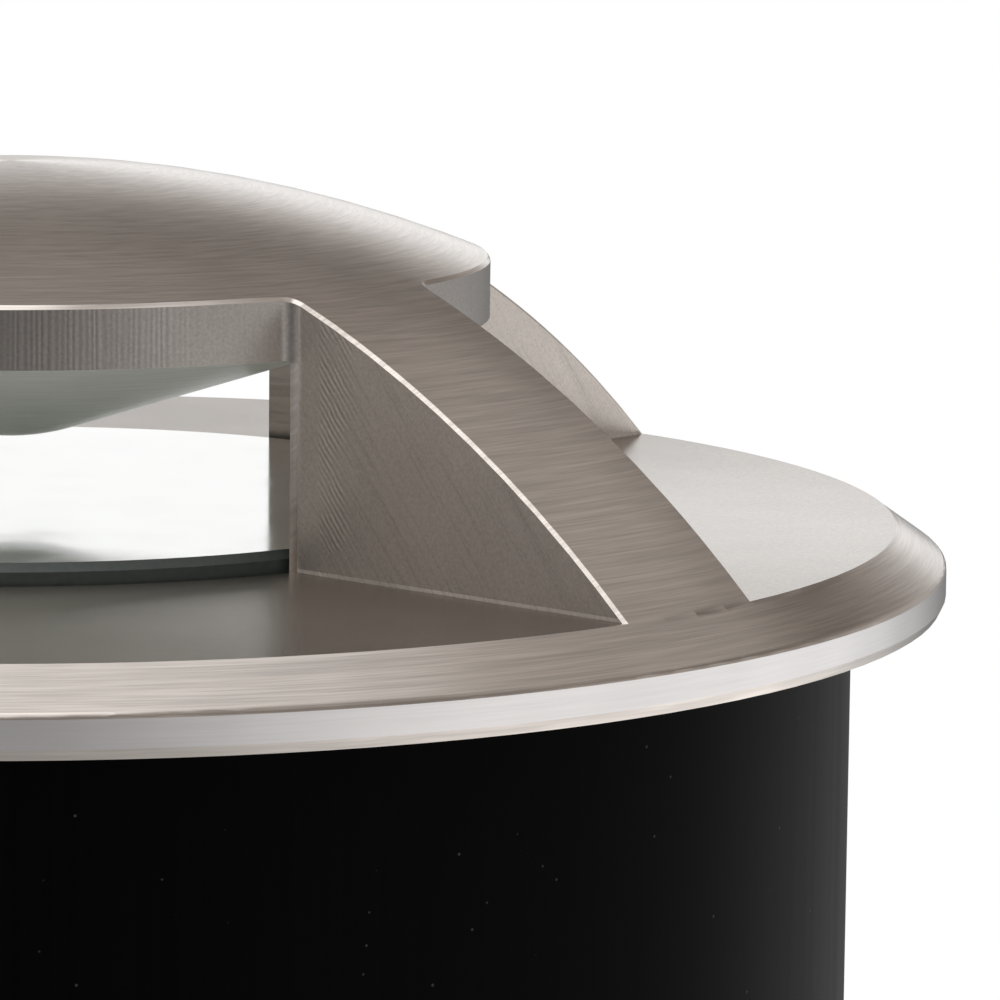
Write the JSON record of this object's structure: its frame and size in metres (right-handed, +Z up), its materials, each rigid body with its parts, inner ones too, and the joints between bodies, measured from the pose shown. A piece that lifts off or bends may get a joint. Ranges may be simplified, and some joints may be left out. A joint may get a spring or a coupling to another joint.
{
  "type": "in ground well light",
  "caption": "Round in ground well light with a domed stainless steel head that throws light through side windows, in a black buried sleeve.",
  "frame": {"origin": "on the axis at ground level, in the plane of the flange's underside, level with the rim of the buried sleeve", "axes": "+Z up out of the ground along the sleeve's axis; windows face +X, -X, +Y and -Y, and the legs stand between them"},
  "size_m": [0.0946, 0.0946, 0.1215],
  "materials": {
    "stainless_brushed": "turned and brushed stainless steel, milled window walls",
    "cone_aluminium": "smooth satin turned aluminium",
    "glass_clear": "clear toughened glass with a green ground edge",
    "silicone_black": "matt black silicone",
    "clamp_aluminium": "turned aluminium",
    "screw_stainless": "bright stainless steel",
    "body_black_paint": "black powder coat on die cast aluminium",
    "thermal_grey": "soft grey thermal pad",
    "board_white": "white solder mask on an aluminium board",
    "led_yellow": "yellow phosphor under clear silicone",
    "lens_acrylic": "clear moulded acrylic",
    "holder_black": "moulded black polycarbonate",
    "lead_red": "red silicone insulation",
    "lead_black": "black silicone insulation",
    "standoff_brass": "turned brass",
    "board_green": "green solder mask on glass fibre board",
    "ferrite_grey": "moulded ferrite",
    "capacitor_can": "aluminium can",
    "chip_black": "moulded epoxy",
    "terminal_green": "moulded nylon",
    "gland_nylon": "moulded black nylon",
    "sleeve_black": "smooth moulded black polypropylene"
  },
  "bodies": {
    "buried_sleeve": {"ground_sleeve": "sleeve_black"},
    "luminaire": {"cover": "stainless_brushed", "deflector_cone": "cone_aluminium", "glass_lens": "glass_clear", "glass_gasket": "silicone_black", "glass_pad_ring": "silicone_black", "glass_clamp_ring": "clamp_aluminium", "clamp_ring_screws": "screw_stainless", "sleeve_grip_ring": "silicone_black", "body_seal_ring": "silicone_black", "lamp_body": "body_black_paint", "cover_screws": "screw_stainless", "thermal_pad": "thermal_grey", "led_board": "board_white", "led_chip": "led_yellow", "collimator_lens": "lens_acrylic", "lens_holder": "holder_black", "holder_screws": "screw_stainless", "lead_grommet": "silicone_black", "led_lead_positive": "lead_red", "led_lead_negative": "lead_black", "driver_standoffs": "standoff_brass", "driver_board": "board_green", "driver_screws": "screw_stainless", "driver_inductor": "ferrite_grey", "driver_capacitors": "capacitor_can", "driver_chips": "chip_black", "supply_terminal": "terminal_green", "base_cap": "body_black_paint", "base_seal_ring": "silicone_black", "base_screws": "screw_stainless", "gland_body": "gland_nylon", "gland_washer": "silicone_black", "gland_seal": "silicone_black", "gland_nut": "gland_nylon", "vent_plug": "gland_nylon"}
  },
  "joints": [
    {"name": "luminaire_lift", "type": "slide", "parent": "buried_sleeve", "child": "luminaire", "axis": [0, 0, 1], "range_m": [0, 0.085]}
  ]
}
